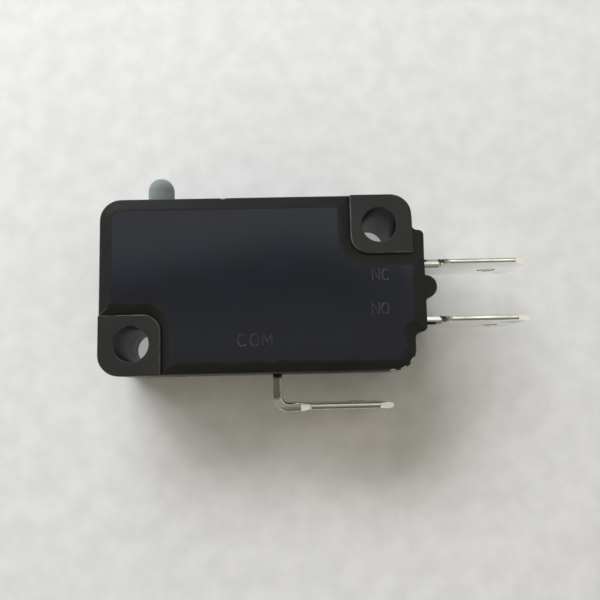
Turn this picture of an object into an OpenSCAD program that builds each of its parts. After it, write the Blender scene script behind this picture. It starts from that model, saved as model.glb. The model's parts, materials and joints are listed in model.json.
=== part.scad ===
// Miniature snap-action switch with a pin plunger and three blade terminals.
// It lies on its back: X runs towards the end terminals, Y towards the plunger, Z out of the marked face.
// The origin is on the axis of the lower mounting hole, in the plane of the cover's back.

/* [Body] */
// Length of the moulded body, without the terminal block
body_l = 28.1; // [25.3:0.1:32.3]
// Height of the body between its two long edges
body_h = 15.9; // [14.3:0.1:18]
// Thickness of the body through its mounting pads
body_t = 10.3; // [9.8:0.1:12]
// Thickness of the cover, the back half of the body
cover_t = 3.3; // [2.9:0.1:3.7]
// Wall round the chamber
wall = 1.2; // [1:0.05:1.4]
// Thickness of the marked face over the chamber
face_t = 1.2; // [0.9:0.1:1.6]
// Thickness of the cover's back over the chamber
back_t = 1.1; // [0.8:0.1:1.4]
// Outer corner radius of the body
corner_r = 1.9; // [1.2:0.1:2.4]
// How far the cover's outline sits back from the case all round
cover_step = 0.05; // [0.02:0.01:0.15]
// Width and depth of the chamfer round the cover's back
back_chamfer = 0.35; // [0.1:0.05:0.6]

/* [Mounting pads] */
// Diameter of the two mounting holes
hole_d = 3.1; // [2.8:0.1:3.4]
// Distance of each hole's axis from the nearest end of the body
end_inset = 2.95; // [2.75:0.05:3.35]
// Distance of each hole's axis from the nearest long edge
side_inset = 2.8; // [2.6:0.1:3.2]
// Plastic between a mounting hole and the inner edge of its pad
pad_rim = 1.05; // [0.8:0.05:1.3]
// Radius of a pad's inner corner
pad_r = 1.6; // [0.8:0.1:2]
// Height of the pads above the marked face
pad_rise = 0.05; // [0.03:0.01:0.2]

/* [Marked face] */
// Width of the bevel that runs round the marked face
bevel_w = 1; // [0.6:0.05:1.2]
// Fall of that bevel
bevel_h = 0.22; // [0.15:0.01:0.5]

/* [Terminal block] */
// How far the terminal block stands out from the body's end
block_l = 1.05; // [0.75:0.05:1.75]
// Plastic of the block below the lower end terminal
block_below = 0.85; // [0.6:0.05:1.1]
// Plastic of the block above the upper end terminal
block_above = 2.22; // [1.6:0.02:2.6]
// Corner and root radius of the block
block_r = 0.5; // [0.3:0.05:0.6]
// Radius of the half-round rib between the two end terminals
rib_r = 1.05; // [0.7:0.05:1.2]
// Height of the rib's centre above the middle between the two end terminals
rib_rise = 0.13; // [-0.2:0.01:0.3]

/* [Blade terminals] */
// Thickness of the terminal strip
tab_t = 0.8; // [0.7:0.05:0.9]
// Width of a blade
tab_w = 6.35; // [5.6:0.05:6.6]
// Length of a blade from its shoulder to its tip
tab_l = 7.75; // [7:0.05:9]
// Width of the strip's neck in the wall
neck_w = 4.2; // [4:0.1:4.4]
// Length of the slanted shoulder between neck and blade
shoulder_l = 0.7; // [0.4:0.05:1]
// Bare neck of an end terminal between the block and the shoulder
neck_out = 1.6; // [0.9:0.1:2.1]
// Width of the coined bevel on a blade's long edges
coin_w = 1; // [0.5:0.05:1.3]
// Thickness left at a blade's edges and tip
edge_t = 0.42; // [0.3:0.02:0.6]
// Length of the taper at a blade's tip
tip_l = 1.3; // [0.8:0.1:1.8]
// Width cut off each corner of a blade's tip
tip_cut = 0.9; // [0.5:0.1:1.4]
// Diameter of the latching hole in a blade
latch_d = 1.7; // [1.4:0.1:2]
// Distance of the latching hole from a blade's tip
latch_from_tip = 3.2; // [2.8:0.1:4.2]

/* [Common terminal] */
// Place of the common terminal's leg along the body
com_x = 12.75; // [12.4:0.05:13.2]
// Drop of the common blade below the body
com_drop = 3.04; // [2.6:0.02:4]
// Neck of the common blade, from its leg to its shoulder
com_neck = 2.1; // [1.7:0.05:3]
// Inner radius of the outer bend
bend_r = 0.6; // [0.4:0.05:0.7]
// Inner radius of the bends inside the chamber
inner_bend_r = 0.3; // [0.2:0.05:0.4]
// Width of each of the two side legs inside the chamber
side_leg_w = 1; // [0.9:0.05:1.1]
// Slit between the side legs and the middle tongue
slit_w = 0.1; // [0.06:0.02:0.14]
// Height of the side legs and the tongue past the pivot that they carry
pivot_cap = 0.9; // [0.7:0.1:1.2]

/* [Contacts] */
// Gap between the upper pad's block and the strip of the upper end terminal
strip_gap = 0.12; // [0.08:0.02:0.3]
// Distance of the contacts from the body's end
contact_inset = 4.55; // [4.35:0.05:4.95]
// Gap between the open contacts at rest
contact_gap = 1; // [0.8:0.05:1.2]
// Free height left at the closed contacts
contact_clear = 0.03; // [0.02:0.01:0.06]
// Diameter of the fixed contacts
fixed_d = 3; // [2.4:0.1:3.4]
// Height of a fixed contact's head
fixed_h = 0.8; // [0.6:0.05:0.9]
// Diameter of the moving contact
moving_d = 2.8; // [2.4:0.1:3.2]
// Height of each head of the moving contact
moving_h = 0.75; // [0.6:0.05:0.85]
// Diameter of the contacts' rivet shanks
shank_d = 1.4; // [1:0.1:1.6]

/* [Snap mechanism] */
// Thickness of the contact arm
arm_t = 0.4; // [0.3:0.05:0.45]
// Place of the arm's pivot along the body
arm_pivot_x = 8.2; // [8:0.05:8.4]
// Place of the spring's hole in the arm along the body
arm_hook_x = 15.6; // [15.2:0.1:16]
// Thickness of the actuating lever
lever_t = 0.5; // [0.4:0.05:0.55]
// Width of the actuating lever
lever_w = 1.8; // [1.6:0.05:1.9]
// Height of the lever's pivot above the lower hole's axis
lever_pivot_y = 0.4; // [0.3:0.05:0.6]
// Place of the spring's hole in the lever along the body
lever_hook_x = 3.6; // [3.5:0.05:3.7]
// Height of the spring's hole in the lever above the arm
lever_hook_rise = 1; // [0.9:0.05:1.1]
// Length of the lever's strip from the spring's hole to its knee
knee_l = 0.7; // [0.6:0.05:0.8]
// Length of the lever's pad past its knee
lever_pad_l = 2.5; // [2.2:0.1:2.8]
// Slope of the lever's pad under the plunger at rest
pad_slope = 5.7; // [4:0.1:7]
// Diameter of the spring's holes
hook_hole_d = 0.6; // [0.55:0.05:0.7]
// Web of the arm between its window and the spring's hole
hook_web = 0.4; // [0.3:0.05:0.5]
// Rim of the arm's eye round the moving contact
eye_rim = 0.2; // [0.1:0.05:0.4]
// Wire diameter of the spring
wire_d = 0.25; // [0.2:0.01:0.28]
// Outer diameter of the spring
spring_d = 1.6; // [1.3:0.05:1.7]
// Turns of the spring
spring_turns = 15; // [12:1:18]
// Length of the spring's end from the lever's hole to the turns
lever_lead = 2.3; // [2.1:0.1:2.6]
// Length of the spring's end from the turns to the arm's hole
arm_lead = 1.6; // [1.4:0.1:2]
// Clearance of the spring's hooks over the strips that they hold
hook_clear = 0.08; // [0.06:0.01:0.12]

/* [Plunger] */
// Place of the plunger along the body
plunger_x = 1.73; // [1.6:0.01:1.9]
// Diameter of the plunger's stem
plunger_d = 2.5; // [2.2:0.05:2.7]
// How far the plunger stands out of the case at rest
plunger_reach = 3.3; // [2.8:0.1:3.8]
// Diameter of the flange that stops the plunger from inside
flange_d = 3.8; // [3.4:0.1:4]
// Thickness of the flange
flange_t = 1.1; // [0.8:0.1:1.3]
// Diameter of the plunger's foot
foot_d = 2; // [1.6:0.1:2.2]
// Length of the guide hole in the case
guide_l = 2.2; // [2:0.1:2.4]

/* [Fits] */
// Clearance of the plunger in its guide, on the radius
guide_clear = 0.05; // [0.03:0.01:0.1]
// Clearance of the terminals in their slots
slot_clear = 0.04; // [0.02:0.01:0.08]
// Clearance of the rounded edges in their pivot notches
pivot_clear = 0.05; // [0.03:0.01:0.08]
// Free height between plunger and lever, and between flange and guide
stack_clear = 0.05; // [0.03:0.01:0.08]
// Diameter of the cover's locating pins
pin_d = 1.1; // [0.9:0.05:1.2]
// Length of the locating pins
pin_l = 1.4; // [1:0.1:2]
// Clearance of the locating pins, on the radius and at their ends
pin_clear = 0.03; // [0.02:0.01:0.06]

/* [Hidden] */
$fn = 64;

case_colour = "#24272b";
cover_colour = "#1e2022";
plunger_colour = "#737a78";
tab_colour = "#d4d6d0";
contact_colour = "#dfdfdb";
arm_colour = "#c08a52";
lever_colour = "#c9b37c";
spring_colour = "#a9adb0";

// Overshoot of a cut past the surface that it opens
over = 0.5;

// Edges of the body, with the origin on the lower hole's axis
left_x = -end_inset;
low_y = -side_inset;
right_x = body_l - end_inset;
top_y = body_h - side_inset;
far_hole = [right_x - end_inset, top_y - side_inset];
block_x = right_x + block_l;

// Reach of a pad from the body's corner, along X and along Y, and the centre of its inner corner
pad_past_axis = hole_d / 2 + pad_rim;
pad = [end_inset + pad_past_axis, side_inset + pad_past_axis];
pad_turn = [pad.x - pad_r, pad.y - pad_r];

// Levels through the thickness
mid_z = body_t / 2;
face_z = body_t - pad_rise;
shelf_z = face_z - bevel_h;
roof_z = face_z - face_t;

// Contact stack, from the upper pad's block downwards
nc_y = top_y - pad.y - strip_gap - tab_t / 2;
arm_y = nc_y - tab_t / 2 - fixed_h - contact_clear - moving_h - arm_t / 2;
no_y = arm_y - arm_t / 2 - moving_h - contact_gap - fixed_h - tab_t / 2;
contact_x = right_x - contact_inset;

// Terminal block and rib round the two end terminals
block_low = no_y - tab_t / 2 - block_below;
block_high = nc_y + tab_t / 2 + block_above;
rib_y = (nc_y + no_y) / 2 + rib_rise;

// Strip past the fixed contacts, and the seats that hold it in the case
strip_margin = 0.4;
seat_margin = 0.6;
strip_end_x = contact_x - fixed_d / 2 - strip_margin;
seat_x = contact_x - fixed_d / 2 - seat_margin;

// Pivots and spring holes of the snap mechanism, in the XY plane, with each pivot just off its strip's face
notch_lift = 0.05;
arm_pivot = [arm_pivot_x, arm_y];
arm_hook = [arm_hook_x, arm_y];
post_x = arm_pivot_x - notch_lift - tab_t / 2;
lever_pivot = [com_x - tab_t / 2 - notch_lift, lever_pivot_y];
lever_hook = [lever_hook_x, arm_y + lever_hook_rise];
lever_rise = (lever_hook - lever_pivot) / norm(lever_hook - lever_pivot);
lever_up = [lever_rise.y, -lever_rise.x];
knee = lever_hook + knee_l * lever_rise;
pad_run = [-cos(pad_slope), sin(pad_slope)];
pad_end = knee + lever_pad_l * pad_run;

// Plunger levels along Y
guide_y = top_y - guide_l;
flange_top_y = guide_y - stack_clear;
pad_top_y = knee.y + (knee.x - plunger_x) * tan(pad_slope) + lever_t / 2 / cos(pad_slope);
foot_r = foot_d / 2;
foot_y = pad_top_y + stack_clear;

// Middle tongue and side legs of the common terminal, across the thickness
tongue_w = neck_w - 2 * side_leg_w - 2 * slit_w;
window_w = neck_w - 2 * side_leg_w;
leg_y = low_y + wall + slot_clear + tab_t / 2;
strip_bend_r = inner_bend_r + tab_t / 2;
com_y = low_y - com_drop;

// Locating pins, in the two corners that have no mounting hole, set in from both edges
pin_inset = 1.3;
pins = [[left_x + pin_inset, top_y - pin_inset], [right_x - pin_inset, low_y + pin_inset]];

// A flat plate between two corners with four round corners
module rounded_rect(p, q, r) {
    translate([p.x + r, p.y])
        square([q.x - p.x - 2 * r, q.y - p.y]);
    translate([p.x, p.y + r])
        square([q.x - p.x, q.y - p.y - 2 * r]);
    for (x = [p.x + r, q.x - r], y = [p.y + r, q.y - r])
        translate([x, y])
            circle(r);
}

// The concave fillet of radius r in the corner between +X and +Y
module root_fillet(r) {
    difference() {
        square(r);
        translate([r, r])
            circle(r);
    }
}

// Outline of the body with its terminal block, set back by s
module body_outline(s = 0) {
    rounded_rect([left_x + s, low_y + s], [right_x - s, top_y - s], corner_r - s);
    rounded_rect([right_x - 2 * corner_r, block_low + s], [block_x - s, block_high - s], block_r);
    translate([right_x - s, block_high - s])
        root_fillet(block_r);
    translate([right_x - s, block_low + s])
        mirror([0, 1])
            root_fillet(block_r);
}

// Corner pad from the body's corner inwards, rounded at the body's corner and at its inner corner
module pad_outline() {
    translate([corner_r, 0])
        square([pad_turn.x - corner_r, pad.y]);
    translate([0, corner_r])
        square([pad.x, pad_turn.y - corner_r]);
    translate([0, pad_turn.y])
        square([corner_r, pad_r]);
    translate([pad_turn.x, 0])
        square([pad_r, corner_r]);
    translate([corner_r, corner_r])
        circle(corner_r);
    translate(pad_turn)
        circle(pad_r);
}

// Puts a shape at the lower hole's corner and, turned half round, at the upper hole's corner
module at_pads() {
    translate([left_x, low_y])
        children();
    translate([right_x, top_y])
        rotate(180)
            children();
}

module rib_outline(s = 0) {
    translate([block_x, rib_y])
        circle(rib_r - s);
}

// Cuts a straight bevel of width w: it starts at p and runs along the heading, with the face on its left
module bevel_run(p, heading, run, w = bevel_w) {
    translate([p.x, p.y])
        rotate(heading)
            rotate([90, 0, 90])
                linear_extrude(run)
                    polygon([
                        [-over, shelf_z], [0, shelf_z], [w, face_z],
                        [w, face_z + over], [-over, face_z + over]
                    ]);
}

// Cuts a bevel round a corner: side is -1 where the face lies inside the arc and 1 where it lies outside
module bevel_turn(c, start, r, side) {
    outer = max(r - side * over, 0);
    translate([c.x, c.y])
        rotate(start)
            rotate_extrude(angle = 90)
                polygon([
                    [outer, shelf_z], [r, shelf_z], [r + side * bevel_w, face_z],
                    [r + side * bevel_w, face_z + over], [outer, face_z + over]
                ]);
}

// The raised face: a slab over the body and block, bevelled along every edge and round both pads
module raised_face() {
    turn = corner_r;
    block_face = block_x + over;
    difference() {
        translate([0, 0, shelf_z])
            linear_extrude(bevel_h)
                body_outline();
        bevel_run([right_x + over, top_y], 180, body_l - turn + over);
        bevel_turn([left_x + turn, top_y - turn], 90, turn, -1);
        bevel_run([left_x, top_y - turn], 270, body_h - turn + over);
        bevel_run([left_x - over, low_y], 0, body_l - turn + over);
        bevel_turn([right_x - turn, low_y + turn], 270, turn, -1);
        bevel_run([right_x, low_y + turn], 90, block_low - low_y - turn);
        bevel_turn([right_x, block_low], 90, 0, 1);
        bevel_run([right_x, block_low], 0, block_l + over);
        bevel_run([block_x, block_low - over], 90, block_high - block_low + 2 * over, block_l);
        bevel_run([left_x - over, low_y + pad.y], 0, pad_turn.x + over);
        bevel_turn([left_x + pad_turn.x, low_y + pad_turn.y], 0, pad_r, 1);
        bevel_run([left_x + pad.x, low_y + pad_turn.y], 270, pad_turn.y + over);
        bevel_run([block_face, top_y - pad.y], 180, block_face - right_x + pad_turn.x);
        bevel_turn([right_x - pad_turn.x, top_y - pad_turn.y], 180, pad_r, 1);
        bevel_run([right_x - pad.x, top_y - pad_turn.y], 90, pad_turn.y + over);
        translate([right_x - pad_r, top_y - pad.y, shelf_z])
            cube([block_l + pad_r + over, pad.y + over, bevel_h + over]);
    }
}

// The chamber that both halves share, from z0 to z1, with the blocks that stand in its corners left out
module chamber(z0, z1) {
    seat_clear = slot_clear + tab_t / 2;
    translate([0, 0, z0])
        linear_extrude(z1 - z0)
            difference() {
                rounded_rect(
                    [left_x + wall, low_y + wall], [right_x - wall, top_y - wall], corner_r / 2);
                at_pads()
                    pad_outline();
                translate([seat_x, nc_y + seat_clear])
                    square([right_x - seat_x, top_y - nc_y]);
                translate([seat_x, low_y])
                    square([right_x - seat_x, no_y - seat_clear - low_y]);
                translate([left_x, guide_y])
                    square([plunger_x + flange_d / 2 + stack_clear - left_x, guide_l]);
            }
}

// Slots of the three terminals in the walls
module terminal_slots() {
    slot_w = neck_w + 2 * slot_clear;
    slot_t = tab_t + 2 * slot_clear;
    for (y = [nc_y, no_y])
        translate([right_x - wall - over, y - slot_t / 2, mid_z - slot_w / 2])
            cube([wall + block_l + 2 * over, slot_t, slot_w]);
    translate([com_x - slot_t / 2, low_y - over, mid_z - slot_w / 2])
        cube([slot_t, wall + 2 * over, slot_w]);
    translate([com_x - slot_t / 2 - inner_bend_r, leg_y - strip_bend_r, mid_z - slot_w / 2])
        cube([slot_t, strip_bend_r, slot_w]);
}

module mounting_holes(z0, z1) {
    for (p = [[0, 0], far_hole])
        translate([p.x, p.y, z0])
            cylinder(d = hole_d, h = z1 - z0);
}

module case() {
    color(case_colour)
        difference() {
            union() {
                translate([0, 0, cover_t])
                    linear_extrude(shelf_z - cover_t) {
                        body_outline();
                        rib_outline();
                    }
                raised_face();
                translate([0, 0, shelf_z - over])
                    linear_extrude(body_t - shelf_z + over)
                        at_pads()
                            pad_outline();
            }
            chamber(cover_t - over, roof_z);
            terminal_slots();
            mounting_holes(cover_t - over, body_t + over);
            translate([plunger_x, guide_y - over, mid_z])
                rotate([-90, 0, 0])
                    cylinder(d = plunger_d + 2 * guide_clear, h = guide_l + 2 * over);
            for (p = pins)
                translate([p.x, p.y, cover_t - over])
                    cylinder(d = pin_d + 2 * pin_clear, h = pin_l + pin_clear + over);
        }
}

// Chamfer cuts round the cover's back, along its four long edges and round its free corners
module back_chamfers() {
    s = cover_step;
    c = back_chamfer;
    r = corner_r - s;
    wedge = [[-over, -over], [c + over, -over], [-over, c + over]];
    run_x = right_x - left_x - 2 * corner_r;
    run_y = top_y - low_y - 2 * corner_r;
    edges = [
        [[left_x + corner_r, low_y + s], 0, run_x],
        [[right_x - corner_r, top_y - s], 180, run_x],
        [[left_x + s, top_y - corner_r], 270, run_y]
    ];
    for (e = edges)
        translate([e[0].x, e[0].y, 0])
            rotate(e[1])
                rotate([90, 0, 90])
                    linear_extrude(e[2])
                        polygon(wedge);
    corners = [
        [[left_x + corner_r, low_y + corner_r], 180], [[left_x + corner_r, top_y - corner_r], 90],
        [[right_x - corner_r, low_y + corner_r], 270], [[right_x - corner_r, top_y - corner_r], 0]
    ];
    for (k = corners)
        translate([k[0].x, k[0].y, 0])
            rotate(k[1])
                rotate_extrude(angle = 90)
                    polygon([[r + over, -over], [r - c - over, -over], [r + over, c + over]]);
}

module cover() {
    color(cover_colour)
        difference() {
            union() {
                linear_extrude(cover_t) {
                    body_outline(cover_step);
                    rib_outline(cover_step);
                }
                for (p = pins)
                    translate([p.x, p.y, cover_t - over])
                        cylinder(d = pin_d, h = pin_l + over);
            }
            chamber(back_t, cover_t + over);
            terminal_slots();
            mounting_holes(-over, cover_t + over);
            back_chamfers();
        }
}

// Push pin: round tip, guided stem, stop flange and a foot with a round nose
module plunger() {
    tip_y = top_y + plunger_reach;
    stem_r = plunger_d / 2;
    color(plunger_colour)
        translate([plunger_x, 0, mid_z])
            rotate([-90, 0, 0])
                union() {
                    translate([0, 0, tip_y - stem_r])
                        sphere(stem_r);
                    translate([0, 0, flange_top_y])
                        cylinder(r = stem_r, h = tip_y - stem_r - flange_top_y);
                    translate([0, 0, flange_top_y - flange_t])
                        cylinder(d = flange_d, h = flange_t);
                    translate([0, 0, foot_y + foot_r])
                        cylinder(r = foot_r, h = flange_top_y - flange_t - foot_y - foot_r);
                    translate([0, 0, foot_y + foot_r])
                        sphere(foot_r);
                }
}

// Blade along +X from the start of its shoulder, centred in thickness (Y) and width (Z)
module blade() {
    end_x = shoulder_l + tab_l;
    half_w = tab_w / 2;
    half_t = tab_t / 2;
    half_edge = edge_t / 2;
    tip_w = half_w - tip_cut;
    difference() {
        intersection() {
            rotate([90, 0, 0])
                linear_extrude(tab_t, center = true)
                    polygon([
                        [0, -neck_w / 2], [shoulder_l, -half_w], [end_x - tip_l, -half_w], [end_x, -tip_w],
                        [end_x, tip_w], [end_x - tip_l, half_w], [shoulder_l, half_w], [0, neck_w / 2]
                    ]);
            rotate([90, 0, 90])
                linear_extrude(end_x)
                    polygon([
                        [-half_edge, -half_w], [half_edge, -half_w], [half_t, coin_w - half_w],
                        [half_t, half_w - coin_w], [half_edge, half_w], [-half_edge, half_w],
                        [-half_t, half_w - coin_w], [-half_t, coin_w - half_w]
                    ]);
            linear_extrude(tab_w, center = true)
                polygon([
                    [0, -half_t], [end_x - tip_l, -half_t], [end_x, -half_edge],
                    [end_x, half_edge], [end_x - tip_l, half_t], [0, half_t]
                ]);
        }
        translate([end_x - latch_from_tip, 0, 0])
            rotate([90, 0, 0])
                cylinder(d = latch_d, h = 2 * tab_t, center = true);
    }
}

// Flat strip from x0 to x1 at height y, of the given width across the thickness of the body
module strip(x0, x1, y, w, t = tab_t) {
    translate([x0, y - t / 2, mid_z - w / 2])
        cube([x1 - x0, t, w]);
}

// Straight end terminal: neck through the wall, blade outside and a riveted contact inside
module end_terminal(y) {
    shoulder_x = block_x + neck_out;
    color(tab_colour)
        difference() {
            union() {
                strip(strip_end_x, shoulder_x, y, neck_w);
                translate([shoulder_x, y, mid_z])
                    blade();
            }
            translate([contact_x, y, mid_z])
                rotate([90, 0, 0])
                    cylinder(d = shank_d, h = 2 * tab_t, center = true);
        }
}

module nc_terminal() {
    end_terminal(nc_y);
}

module no_terminal() {
    end_terminal(no_y);
}

// Quarter bend of the strip about c, from the start angle, with the given inner radius and width
module strip_bend(c, start, r, w) {
    translate([c.x, c.y, mid_z - w / 2])
        rotate(start)
            rotate_extrude(angle = 90)
                translate([r, 0])
                    square([tab_t, w]);
}

// Upright strip at x between two heights
module upright(x, y0, y1, w) {
    translate([x - tab_t / 2, y0, mid_z - w / 2])
        cube([tab_t, y1 - y0, w]);
}

// Common terminal: blade, bend and leg outside, then a notched tongue and two notched side posts inside
module com_terminal() {
    outer_r = bend_r + tab_t / 2;
    split_y = leg_y - strip_bend_r;
    shoulder_x = com_x + com_neck;
    inner_bend = [com_x - strip_bend_r, split_y];
    post_bend = [post_x + strip_bend_r, leg_y + strip_bend_r];
    color(tab_colour)
        union() {
            translate([shoulder_x, com_y, mid_z])
                blade();
            strip(com_x + outer_r, shoulder_x, com_y, neck_w);
            strip_bend([com_x + outer_r, com_y + outer_r], 180, bend_r, neck_w);
            upright(com_x, com_y + outer_r, split_y, neck_w);
            difference() {
                upright(com_x, split_y, lever_pivot_y + pivot_cap, tongue_w);
                translate([lever_pivot.x, lever_pivot.y, 0])
                    cylinder(r = lever_t / 2 + pivot_clear, h = body_t);
            }
            difference() {
                union() {
                    strip_bend(inner_bend, 0, inner_bend_r, neck_w);
                    strip(post_bend.x, inner_bend.x, leg_y, neck_w);
                    strip_bend(post_bend, 180, inner_bend_r, neck_w);
                    upright(post_x, post_bend.y, arm_y + pivot_cap, neck_w);
                }
                translate([left_x, split_y, mid_z - window_w / 2])
                    cube([body_l, body_h, window_w]);
                translate([arm_pivot.x, arm_pivot.y, 0])
                    cylinder(r = arm_t / 2 + pivot_clear, h = body_t);
            }
        }
}

// Contact rivet along +Y from the strip's face: a crowned head, with a shank below it
module rivet(d, head_h, shank_l) {
    crown_h = head_h / 4;
    crown_r = d / 4;
    rotate([-90, 0, 0])
        rotate_extrude()
            polygon([
                [0, -shank_l], [shank_d / 2, -shank_l], [shank_d / 2, 0], [d / 2, 0],
                [d / 2, head_h - crown_h], [crown_r, head_h], [0, head_h]
            ]);
}

module nc_contact() {
    color(contact_colour)
        translate([contact_x, nc_y - tab_t / 2, mid_z])
            rotate([180, 0, 0])
                rivet(fixed_d, fixed_h, tab_t);
}

module no_contact() {
    color(contact_colour)
        translate([contact_x, no_y + tab_t / 2, mid_z])
            rivet(fixed_d, fixed_h, tab_t);
}

module moving_contact() {
    color(contact_colour)
        translate([contact_x, arm_y, mid_z])
            for (turn = [0, 180])
                rotate([turn, 0, 0])
                    translate([0, arm_t / 2, 0])
                        rivet(moving_d, moving_h, arm_t / 2);
}

// Contact arm: two prongs with round ends, a window for the spring and an eye for the moving contact
module contact_arm() {
    eye_r = moving_d / 2 + eye_rim;
    window_end = arm_hook.x - hook_hole_d / 2 - hook_web;
    color(arm_colour)
        difference() {
            union() {
                strip(arm_pivot.x, contact_x, arm_y, neck_w, arm_t);
                translate([arm_pivot.x, arm_y, mid_z - neck_w / 2])
                    cylinder(d = arm_t, h = neck_w);
                translate([contact_x, arm_y, mid_z])
                    rotate([90, 0, 0])
                        cylinder(r = eye_r, h = arm_t, center = true);
            }
            translate([left_x, low_y, mid_z - window_w / 2])
                cube([window_end - left_x, body_h, window_w]);
            translate([arm_hook.x, arm_y, mid_z])
                rotate([90, 0, 0])
                    cylinder(d = hook_hole_d, h = 2 * tab_t, center = true);
            translate([contact_x, arm_y, mid_z])
                rotate([90, 0, 0])
                    cylinder(d = shank_d, h = 2 * tab_t, center = true);
        }
}

// Straight piece of the lever's side view between two points
module lever_run(p, q) {
    along = q - p;
    translate(p)
        rotate(atan2(along.y, along.x))
            translate([0, -lever_t / 2])
                square([norm(along), lever_t]);
}

// Actuating lever: slanted strip from its pivot past the spring's hole, then a pad under the plunger
module actuating_lever() {
    color(lever_colour)
        difference() {
            translate([0, 0, mid_z - lever_w / 2])
                linear_extrude(lever_w) {
                    lever_run(lever_pivot, knee);
                    lever_run(knee, pad_end);
                    for (c = [lever_pivot, knee, pad_end])
                        translate(c)
                            circle(d = lever_t);
                }
            translate([lever_hook.x, lever_hook.y, mid_z])
                rotate(atan2(lever_rise.y, lever_rise.x))
                    rotate([90, 0, 0])
                        cylinder(d = hook_hole_d, h = 3 * lever_t, center = true);
        }
}

// Spring wire: ring steps in a turn, and sides of the wire
steps_per_turn = 10;
wire_sides = 6;

// Bends of the wire's hooks: distance along the strip, and height in units of the hook's reach
lever_hook_bends = [[0.5, -1.15], [0.12, -1.1], [0, -0.8], [0, 0.7], [0.15, 1.05], [0.45, 1.1]];
arm_hook_bends = [
    [0.95, 0.8], [0.62, 1.25], [0.3, 1.3], [0.08, 1.1], [0, 0.7], [0, -0.8], [0.12, -1.1], [0.4, -1.2]
];
lever_hook_reach = (lever_t + wire_d) / 2 + hook_clear;
arm_hook_reach = (arm_t + wire_d) / 2 + hook_clear;

// Path of the wire: a hook through the lever, the turns and a hook through the arm
spring_axis = (arm_hook - lever_hook) / norm(arm_hook - lever_hook);
spring_side = [-spring_axis.y, spring_axis.x];
coil_r = (spring_d - wire_d) / 2;
coil_l = norm(arm_hook - lever_hook) - lever_lead - arm_lead;
coil_steps = spring_turns * steps_per_turn;

function in_lever(along, up) = lever_hook - along * lever_rise + up * lever_up;
function in_arm(along, up) = arm_hook + [-along, up];
function at_mid(p) = [p.x, p.y, mid_z];
function ramp(i) = min(1, 2 * i / steps_per_turn, 2 * (coil_steps - i) / steps_per_turn);
function coil_point(i) =
    let (s = lever_lead + coil_l * i / coil_steps)
    let (turn = 90 + 360 * i / steps_per_turn)
    let (p = lever_hook + s * spring_axis + coil_r * ramp(i) * cos(turn) * spring_side)
    [p.x, p.y, mid_z + coil_r * ramp(i) * sin(turn)];

wire_path = concat(
    [for (b = lever_hook_bends) at_mid(in_lever(b[0], b[1] * lever_hook_reach))],
    [for (i = [0:coil_steps]) coil_point(i)],
    [for (b = arm_hook_bends) at_mid(in_arm(b[0], b[1] * arm_hook_reach))]
);
wire_last = len(wire_path) - 1;

function unit(v) = v / norm(v);
function heading(i) = unit(wire_path[min(i + 1, wire_last)] - wire_path[max(i - 1, 0)]);
function square_to(n, t) = unit(n - (n * t) * t);

// Directions across the wire, carried along the path without twisting
wire_across = [
    for (i = 0, n = square_to([0, 0, 1], heading(0)); i <= wire_last;
        i = i + 1, n = square_to(n, heading(min(i, wire_last)))) n
];

// Spring wire swept round its path
module coil_spring() {
    rings = [
        for (i = [0:wire_last], k = [0:wire_sides - 1])
            wire_path[i] + wire_d / 2 * (
                cos(360 * k / wire_sides) * wire_across[i]
                + sin(360 * k / wire_sides) * cross(heading(i), wire_across[i]))
    ];
    sides = [
        for (i = [0:wire_last - 1], k = [0:wire_sides - 1])
            let (here = i * wire_sides, ahead = here + wire_sides, next = (k + 1) % wire_sides)
                each [[here + k, ahead + k, ahead + next], [here + k, ahead + next, here + next]]
    ];
    first_end = [for (k = [0:wire_sides - 1]) k];
    last_end = [for (k = [0:wire_sides - 1]) wire_last * wire_sides + wire_sides - 1 - k];
    color(spring_colour)
        polyhedron(rings, concat(sides, [first_end, last_end]));
}

case();
cover();
plunger();
com_terminal();
nc_terminal();
no_terminal();
nc_contact();
no_contact();
moving_contact();
contact_arm();
actuating_lever();
coil_spring();
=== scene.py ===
# %% [markdown]
# # A pin-plunger snap switch, lying on its back
# The object is a small electrical switch: two black mouldings that close like a box, a grey push pin,
# three plated blade terminals, and inside them a lever, a contact arm and a coil spring.
# A CAD model already holds every piece at its real size. This lesson dresses that model: it rounds the
# edges, adds the marks that the mould leaves, and gives every piece the finish of its material.

# %% Load the frame
import json
import math

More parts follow.
